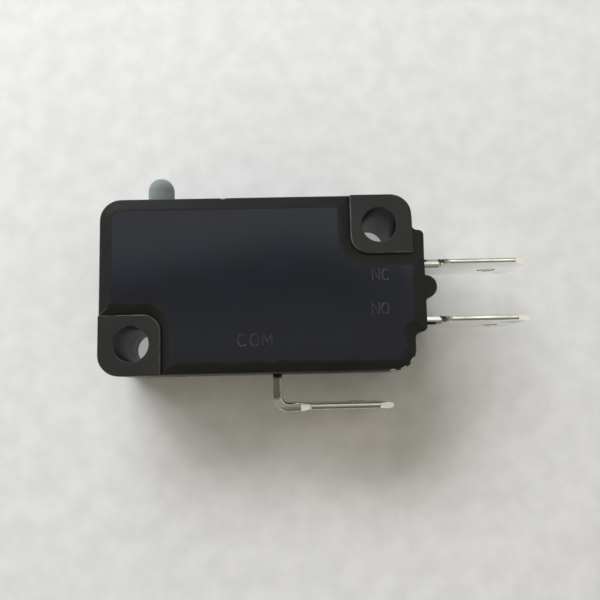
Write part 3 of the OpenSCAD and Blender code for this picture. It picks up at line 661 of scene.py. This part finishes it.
# %% Case
case_low, case_high = (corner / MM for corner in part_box("case"))
PAD_PROUD, BEVEL_DROP, ROOF_T = 0.05, 0.22, 1.2
PAD_Z = case_high.z
FACE_Z = PAD_Z - PAD_PROUD
RIM_Z = FACE_Z - BEVEL_DROP
ROOF_Z = FACE_Z - ROOF_T
HOLE_AXES = [bore.xy / MM for bore in bores]
HOLE_R = mounts["mounting_hole_a"]["dims"]["r_mm"]
HOLE_LIP = 0.2
BODY_LOW = case_low.xy
BODY_HIGH = HOLE_AXES[1] - BODY_LOW
SKIN_T = 0.7
NEAR = 0.02
PAD_REACH = 2.7
CROWDED = [(24.2, -0.3, 26.4, 1.6), (24.6, 9.2, 26.4, 10.8)]
CROWDED_DEPTH = 0.7
LEVEL = 0.999
CASE_WIDTH = 0.16 * MM
FACE_EDGE, RIM_EDGE, PAD_EDGE, PARTING_EDGE = 1.0, 0.9, 0.7, 0.55


def at_hole(middle):
    """True for an edge on the wall of a mounting hole."""
    return any((middle.xy - axis).length < HOLE_R + NEAR for axis in HOLE_AXES)


def in_chamber(middle):
    """True for an edge that only the inside of the closed switch sees."""
    inner = all(BODY_LOW[i] + SKIN_T < middle[i] < BODY_HIGH[i] - SKIN_T for i in (0, 1))
    return inner and middle.z < ROOF_Z + NEAR


def is_crowded(middle):
    """True where bevel, rim and terminal block meet in edges too short to round."""
    return middle.z > RIM_Z - CROWDED_DEPTH and any(
        x0 < middle.x < x1 and y0 < middle.y < y1 for x0, y0, x1, y1 in CROWDED)


def case_rule(middle, angle):
    """How round an edge of the case is, from 0 to 1, or SHARP."""
    on_face = abs(middle.z - FACE_Z) < NEAR and angle > CREASE_ANGLE
    if not on_face and (in_chamber(middle) or angle < FACET_ANGLE):
        return 0.0
    if is_crowded(middle):
        return SHARP
    if on_face:
        return FACE_EDGE
    if at_hole(middle) or middle.z > PAD_Z - NEAR:
        return PAD_EDGE
    return RIM_EDGE if middle.z > RIM_Z - NEAR else PARTING_EDGE


def level_at(height):
    """A test for a face that lies flat at a height in mm."""
    return lambda face: face.normal.z > LEVEL and abs(face.center.z / MM - height) < NEAR


def case_rub_and_highlight(face):
    """The pads stand proud, so their outer edges are rubbed most and carry the most painted highlight."""
    spot_mm = face.center / MM
    if spot_mm.z > RIM_Z:
        for axis in HOLE_AXES:
            if (spot_mm.xy - axis).length < HOLE_R + HOLE_LIP:
                return LIGHT_RUB_AND_HIGHLIGHT
            if max(abs(spot_mm.x - axis.x), abs(spot_mm.y - axis.y)) < PAD_REACH:
                return 1.0
    return FAINT_RUB_AND_HIGHLIGHT


case_piece = rounded_piece("case_shell", "case", case_plastic, CASE_WIDTH, case_rule, rub_and_highlight=case_rub_and_highlight)
# The raised face gets the bluish colours of the painted cool sheen.
face_attribute(case_piece.data, "polished_and_sheen", level_at(FACE_Z))
face_attribute(case_piece.data, "worn", level_at(PAD_Z))
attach(case_piece, "housing")
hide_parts("case")

# %% [markdown]
# ## The cover
# The cover is the shallow back half. It sits a hair inside the case's outline, so that the parting
# line shows as a fine step all round and inside both mounting holes. The rule for its edges is simple:
# the chamfer and the hole mouths at the back are rounded, and the edge at the parting line is eased.

# %% Cover
COVER_WIDTH = 0.10 * MM
BACK_EDGE, OTHER_COVER_EDGE = 1.0, 0.8
BACK_REACH = 1.0


def cover_rule(middle, angle):
    """How round an edge of the cover is, from 0 to 1."""
    if angle < FACET_ANGLE:
        return 0.0
    if at_hole(middle):
        return OTHER_COVER_EDGE
    if in_chamber(middle) and middle.z > NEAR:
        return 0.0
    return BACK_EDGE if middle.z < BACK_REACH else OTHER_COVER_EDGE


cover_piece = rounded_piece("cover_shell", "cover", cover_plastic, COVER_WIDTH, cover_rule)
face_attribute(cover_piece.data, "polished_and_sheen", lambda face: False)
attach(cover_piece, "housing")
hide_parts("cover")

# %% [markdown]
# ## The plunger
# The plunger is turned in one's mind, though it is moulded: a round tip, a stem, a flange that stops
# it from inside, and a round foot. A shape like that is a profile spun round an axis. The profile is
# written from the foot to the tip, with arcs where it is round and small radii on the flange.

# %% Plunger
plunger_low, plunger_high = (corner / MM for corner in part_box("plunger"))
PLUNGER_X = (plunger_low.x + plunger_high.x) / 2
PLUNGER_Z = (plunger_low.z + plunger_high.z) / 2
STEM_R, FOOT_R, FLANGE_R = 1.25, 1.0, (plunger_high.x - plunger_low.x) / 2
FLANGE_LOW, FLANGE_HIGH = 9.75, 10.85
FLANGE_SOFT = 0.12
LATHE_STEPS = 72


def arc(centre, radius, start, stop, steps):
    """Points (r, y) on an arc between two angles in degrees."""
    turns = [math.radians(start + (stop - start) * i / steps) for i in range(steps + 1)]
    return [(centre[0] + radius * math.cos(t), centre[1] + radius * math.sin(t)) for t in turns]


def lathe(name, profile, material):
    """Spins a profile of (r, y) in mm, from pole to pole, round the plunger's axis."""
    spun = bmesh.new()
    rings = []
    for r, y in profile:
        count = LATHE_STEPS if r > MERGE_WITHIN / MM else 1
        turns = [2 * math.pi * i / LATHE_STEPS for i in range(count)]
        spots = [(PLUNGER_X + r * math.cos(t), y, PLUNGER_Z - r * math.sin(t)) for t in turns]
        rings.append([spun.verts.new(Vector(spot) * MM) for spot in spots])
    for low, high in zip(rings, rings[1:]):
        for i in range(LATHE_STEPS):
            k = (i + 1) % LATHE_STEPS
            ring = [low[i % len(low)], low[k % len(low)], high[k % len(high)], high[i % len(high)]]
            spun.faces.new(list(dict.fromkeys(ring)))
    bmesh.ops.recalc_face_normals(spun, faces=spun.faces)
    for face in spun.faces:
        face.smooth = True
    for edge in spun.edges:
        edge.smooth = edge.calc_face_angle(0.0) < SHARP_ANGLE
    return add_object(name, finished(spun, name, material))


flange_mid = FLANGE_R - FLANGE_SOFT
profile = [
    *arc((0, plunger_low.y + FOOT_R), FOOT_R, -90, 0, 12), (FOOT_R, FLANGE_LOW),
    *arc((flange_mid, FLANGE_LOW + FLANGE_SOFT), FLANGE_SOFT, -90, 0, 4),
    *arc((flange_mid, FLANGE_HIGH - FLANGE_SOFT), FLANGE_SOFT, 0, 90, 4),
    (STEM_R, FLANGE_HIGH), *arc((0, plunger_high.y - STEM_R), STEM_R, 0, 90, 20)
]
plunger_piece = lathe("push_pin", profile, plunger_plastic)
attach(plunger_piece, "plunger_body")
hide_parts("plunger")
print("Plunger tip at y", round(plunger_high.y, 2), "mm, faces:", len(plunger_piece.data.polygons))

# %% [markdown]
# ## Contacts and moving metal
# Three contacts, the arm and the lever are stamped or headed metal. A press rounds one edge of a strip
# and leaves a small burr on the other; at this size an even, very small radius stands for both. All of
# them go through the same rounding with the same short rule.

# %% Stamped metal
STRIP_WIDTH = 0.06 * MM
COINED_ANGLE, COINED_EDGE = math.radians(28), 0.6
METAL_PIECES = [
    ("nc_rivet", "nc_contact", "housing", "contact_silver", contact_silver),
    ("no_rivet", "no_contact", "housing", "contact_silver", contact_silver),
    ("moving_rivet", "moving_contact", "arm_body", "contact_silver", contact_silver),
    ("snap_arm", "contact_arm", "arm_body", "arm_strip", arm_strip),
    ("push_lever", "actuating_lever", "lever_body", "lever_strip", lever_strip),
]


def strip_rule(middle, angle):
    """Every real edge of a strip is equally round, and the slight one of its coined bevel is softer."""
    if angle < FACET_ANGLE:
        return 0.0
    return 1.0 if angle > COINED_ANGLE else COINED_EDGE


for name, node, body, slot, material in METAL_PIECES:
    piece = rounded_piece(name, node, material, STRIP_WIDTH, strip_rule)
    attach(piece, body)
    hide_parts(node)

# %% [markdown]
# ## Blade terminals
# The press that cuts a blade drags the metal down at its edges. So an edge is a little crowned across
# its thickness, and the shoulder, which the end blades have steeper than their CAD model, rolls over in
# a wide curve. The common blade is bent, and the inner side of its bend is rounder than other edges.
# The crown matters most: its upper half mirrors the bright strip of the sky and its lower half the
# shade, so every blade shows as a light line above a dark one. Cuts along the blade give it the points
# that the crown needs. The two end blades are bright enough to fill their own shadows on the sheet,
# which few light paths can show, so the window's light passes them.

# %% Blade terminals
BLADE_WIDTH = 0.45 * MM
BLADE_SEGMENTS = 4
BLADE_HALF, COIN_W = 3.175, 1.0
COIN_OUT = BLADE_HALF - COIN_W
MID_Z = mounts["com_blade"]["pos_m"][2] / MM
LATCH_R = 0.85
SHOULDER_EDGE, LONG_EDGE, INNER_EDGE, OTHER_EDGE = 1.0, 0.08, 0.45, 0.10
SHOULDER_L, CROWN_DEPTH = 0.7, 0.06
INNER_X, INNER_Y = 13.13, (-5.46, -2.82)
FOOT_X, FOOT_SHIFT = 27.8, 0.3
INSIDE_X, INSIDE_Y = 14.2, -2.9
CROWN = 0.5
CROWN_CUTS = [-0.085, 0.0, 0.085]
CROWN_REACH = 0.45
UPWARD, SLOPING = 0.2, 0.35
BLADES = [
    ("com_blade", "com_terminal", common_strip, 14.2, 15.55),
    ("nc_blade", "nc_terminal", plated_strip, 25.8, 28.5),
    ("no_blade", "no_terminal", plated_strip, 25.8, 28.5),
]
END_BLADES = ("nc_blade", "no_blade")
unshaded = bpy.data.collections.new("unshaded_by_end_blades")


def blade_crown(mid_y, root_x):
    """A step that crowns the edges of a blade beyond its root."""
    def shape(whole):
        for offset in CROWN_CUTS:
            bmesh.ops.bisect_plane(
                whole, geom=[*whole.verts, *whole.edges, *whole.faces], dist=MERGE_WITHIN,
                plane_co=Vector((0, mid_y + offset, 0)) * MM, plane_no=(0, 1, 0))
        whole.normal_update()
        tops = {vert for face in whole.faces if abs(face.normal.z) > UPWARD for vert in face.verts}
        for vert in tops:
            x, y, z = vert.co / MM
            away, out = abs(y - mid_y), z - MID_Z
            if abs(x - FOOT_X) < NEAR:
                vert.co.x += FOOT_SHIFT * MM
            if x > root_x and away < CROWN_REACH and abs(out) > LATCH_R + NEAR:
                vert.co.z -= math.copysign(CROWN * away ** 2 * MM, out)
        whole.normal_update()
    return shape


def blade_rule(shoulder_x):
    """A rule for a blade whose shoulder ends at the given place."""
    def rule(middle, angle):
        out = abs(middle.z - MID_Z)
        if middle.x < INSIDE_X and middle.y > INSIDE_Y:
            return 0.0
        if angle > CREASE_ANGLE and abs(out - COIN_OUT) < NEAR:
            return OTHER_EDGE
        if angle < FACET_ANGLE:
            return 0.0
        if INNER_X < middle.x < shoulder_x - SHOULDER_L and INNER_Y[0] < middle.y < INNER_Y[1]:
            return INNER_EDGE
        if abs(out - BLADE_HALF) > CROWN_DEPTH:
            return OTHER_EDGE
        return SHOULDER_EDGE if abs(middle.x - shoulder_x) < NEAR else LONG_EDGE
    return rule


def is_sheared(face):
    """True for a face on a sheared edge, which the plated wall of the latch hole is not."""
    return abs(face.normal.z) > UPWARD and abs(face.center.z / MM - MID_Z) > LATCH_R + NEAR


def is_torn(face):
    """True for a face on the slope of a shoulder or tip."""
    return is_sheared(face) and abs(face.normal.x) > SLOPING


for name, node, metal, root_x, shoulder_x in BLADES:
    crown = blade_crown(mounts[name]["pos_m"][1] / MM, root_x)
    blade = rounded_piece(name, node, metal, BLADE_WIDTH, blade_rule(shoulder_x), BLADE_SEGMENTS, crown)
    face_attribute(blade.data, "sheared", is_sheared)
    face_attribute(blade.data, "torn", is_torn)
    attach(blade, "housing")
    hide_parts(node)
    if name in END_BLADES:
        unshaded.objects.link(blade)
for member in unshaded.collection_objects:
    member.light_linking.link_state = "EXCLUDE"
window.light_linking.blocker_collection = unshaded

# %% [markdown]
# ## A round bead along a path
# Two things on this switch are a round section that follows a line: the wire of the coil spring, and
# the raised terminal marks, whose strokes were cut into the mould with a round-nosed tool. One
# Geometry Nodes tree makes both. It turns edges into curves, sweeps a circle along them, and puts a
# ball of the same width on every open end, as a cutter leaves it.

# %% Sweep tree
BALL_RINGS = 6


def geometry_tree(name, inputs):
    """An empty Geometry Nodes tree with a geometry input and output and named inputs."""
    tree = bpy.data.node_groups.new(name, "GeometryNodeTree")
    tree.interface.new_socket("Geometry", in_out="INPUT", socket_type="NodeSocketGeometry")
    for label, kind in inputs:
        tree.interface.new_socket(label, in_out="INPUT", socket_type="NodeSocket" + kind)
    tree.interface.new_socket("Geometry", in_out="OUTPUT", socket_type="NodeSocketGeometry")
    return tree, put(tree, "NodeGroupInput").outputs, put(tree, "NodeGroupOutput").inputs


def end_tree(tree, geometry, material, sink):
    """Ends a tree in smooth shading, Realize Instances and Set Material."""
    smooth = put(tree, "GeometryNodeSetShadeSmooth", {"Geometry": geometry}).outputs[0]
    real = put(tree, "GeometryNodeRealizeInstances", {"Geometry": smooth}).outputs[0]
    dressed = put(tree, "GeometryNodeSetMaterial", {"Geometry": real, "Material": material}).outputs[0]
    tree.links.new(dressed, sink["Geometry"])


sweep_tree, given, sink = geometry_tree(
    "round_bead", [("Width", "Float"), ("Sides", "Int"), ("Material", "Material")])
radius = sums(sweep_tree, "MULTIPLY", given["Width"], 0.5)
line = put(sweep_tree, "GeometryNodeMeshToCurve", {"Mesh": given["Geometry"]}).outputs["Curve"]
ring = put(
    sweep_tree, "GeometryNodeCurvePrimitiveCircle",
    {"Resolution": given["Sides"], "Radius": radius}).outputs["Curve"]
bead = put(
    sweep_tree, "GeometryNodeCurveToMesh",
    {"Curve": line, "Profile Curve": ring, "Fill Caps": True}).outputs["Mesh"]
ball = put(
    sweep_tree, "GeometryNodeMeshUVSphere",
    {"Segments": given["Sides"], "Rings": BALL_RINGS, "Radius": radius}).outputs["Mesh"]
ends = put(sweep_tree, "GeometryNodeCurveEndpointSelection").outputs["Selection"]
balls = put(
    sweep_tree, "GeometryNodeInstanceOnPoints",
    {"Points": line, "Selection": ends, "Instance": ball}).outputs["Instances"]
joined = put(sweep_tree, "GeometryNodeJoinGeometry", {"Geometry": bead})
sweep_tree.links.new(balls, joined.inputs["Geometry"])
end_tree(sweep_tree, joined.outputs["Geometry"], given["Material"], sink)


def with_tree(name, points, edges, tree, **values):
    """Runs a Geometry Nodes tree on points in mm joined by edges, and returns the finished piece."""
    mesh = bpy.data.meshes.new(name + "_line")
    mesh.from_pydata([Vector(p) * MM for p in points], edges, [])
    draft = add_object(name + "_draft", mesh)
    modifier = draft.modifiers.new(tree.name, "NODES")
    modifier.node_group = tree
    for item in tree.interface.items_tree:
        label = item.name.replace(" ", "_")
        if item.in_out == "INPUT" and label in values:
            modifier[item.identifier] = values[label]
    return converted(draft, name)


def chain(count, first=0):
    """Edges that join a run of points."""
    return [(first + i, first + i + 1) for i in range(count - 1)]


print("Sweep tree nodes:", len(sweep_tree.nodes))

# %% [markdown]
# ## The terminal marks
# COM, NC and NO are the ordinary names of the three contacts of a changeover switch, and they are
# raised on the face beside their terminals. A font would give them flat, heavy strokes. Each letter is
# drawn here by its centre lines in a box one unit wide and high, and the bead tree thickens them. The
# beads are sunk until only a low round ridge stands on the face.

# %% Terminal marks
BEAD_W, BEAD_PROUD, BEAD_SIDES = 0.18, 0.05, 12
# The rubbed grey on the mark crests is partly a painted highlight on their tops.
CREST, MARK_RUB_AND_HIGHLIGHT = 0.85, 0.55


def oval(start, stop, steps=20):
    """Points of an oval stroke in the unit box, between two angles."""
    turns = [math.radians(start + (stop - start) * i / steps) for i in range(steps + 1)]
    return [(0.5 + 0.5 * math.cos(t), 0.5 + 0.5 * math.sin(t)) for t in turns]


LETTERS = {
    "C": [oval(48, 312)],
    "O": [oval(0, 360)],
    "M": [[(0, 0), (0, 1)], [(0, 1), (0.5, 0.3)], [(0.5, 0.3), (1, 1)], [(1, 1), (1, 0)]],
    "N": [[(0, 0), (0, 1)], [(0, 1), (1, 0)], [(1, 0), (1, 1)]],
}
MARKS = [
    ("com_mark", "COM", (9.40, -0.36), (0.78, 1.02), 1.10),
    ("nc_mark", "NC", (21.46, 5.26), (0.62, 0.99), 0.86),
    ("no_mark", "NO", (21.36, 2.22), (0.62, 0.97), 0.80),
]
level = FACE_Z + BEAD_PROUD - BEAD_W / 2
for name, word, (x, y), (wide, high), pitch in MARKS:
    points, edges = [], []
    for place_in_word, letter in enumerate(word):
        for stroke in LETTERS[letter]:
            edges += chain(len(stroke), len(points))
            points += [(x + place_in_word * pitch + u * wide, y + v * high, level) for u, v in stroke]
    mark = with_tree(
        name, points, edges, sweep_tree, Width=BEAD_W * MM, Sides=BEAD_SIDES, Material=case_plastic)
    face_attribute(mark.data, "polished_and_sheen", lambda face: True)
    # Painted highlight: the crest of each stroke is made paler.
    face_attribute(mark.data, "rubbed", lambda face: MARK_RUB_AND_HIGHLIGHT * (face.normal.z > CREST))
    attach(mark, "housing")
    print(name, "faces:", len(mark.data.polygons))

# %% [markdown]
# ## The coil spring
# A tension spring joins the lever to the arm: a hook, fifteen turns and another hook, all one wire.
# The CAD model has it with a coarse six-sided wire. The same path, worked out with finer steps, goes
# through the bead tree and gives a round wire. The turns start and end in the spring's axis.

# %% Coil spring
LEVER_PIVOT, ARM_PIVOT, LEVER_HOOK = (
    Vector(joints[name]["pos_m"]).xy / MM for name in ("lever_pivot", "arm_pivot", "spring_hook"))
ARM_HOOK = Vector((15.6, ARM_PIVOT.y))
WIRE_D, WIRE_SIDES = 0.25, 10
SPRING_D, TURNS = 1.6, 15
STEPS_PER_TURN = 24
LEVER_LEAD, ARM_LEAD = 2.3, 1.6
LEVER_REACH, ARM_REACH = 0.455, 0.405
LEVER_BENDS = [(0.5, -1.15), (0.12, -1.1), (0, -0.8), (0, 0.7), (0.15, 1.05), (0.45, 1.1)]
ARM_BENDS = [
    (0.95, 0.8), (0.62, 1.25), (0.3, 1.3), (0.08, 1.1), (0, 0.7), (0, -0.8), (0.12, -1.1), (0.4, -1.2)
]
lever_along = (LEVER_HOOK - LEVER_PIVOT).normalized()
lever_up = Vector((lever_along.y, -lever_along.x))
axis = (ARM_HOOK - LEVER_HOOK).normalized()
side = Vector((-axis.y, axis.x))
coil_r = (SPRING_D - WIRE_D) / 2
coil_l = (ARM_HOOK - LEVER_HOOK).length - LEVER_LEAD - ARM_LEAD
steps = TURNS * STEPS_PER_TURN
path = [LEVER_HOOK - a * lever_along + u * LEVER_REACH * lever_up for a, u in LEVER_BENDS]
path = [(p.x, p.y, MID_Z) for p in path]
for i in range(steps + 1):
    out = coil_r * min(1, 2 * i / STEPS_PER_TURN, 2 * (steps - i) / STEPS_PER_TURN)
    turn = math.radians(90) + 2 * math.pi * i / STEPS_PER_TURN
    p = LEVER_HOOK + (LEVER_LEAD + coil_l * i / steps) * axis + out * math.cos(turn) * side
    path.append((p.x, p.y, MID_Z + out * math.sin(turn)))
path += [(ARM_HOOK.x - a, ARM_HOOK.y + u * ARM_REACH, MID_Z) for a, u in ARM_BENDS]
spring = with_tree(
    "snap_spring", path, chain(len(path)), sweep_tree,
    Width=WIRE_D * MM, Sides=WIRE_SIDES, Material=spring_wire)
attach(spring, "spring_body")
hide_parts("coil_spring")
print("Spring faces:", len(spring.data.polygons))
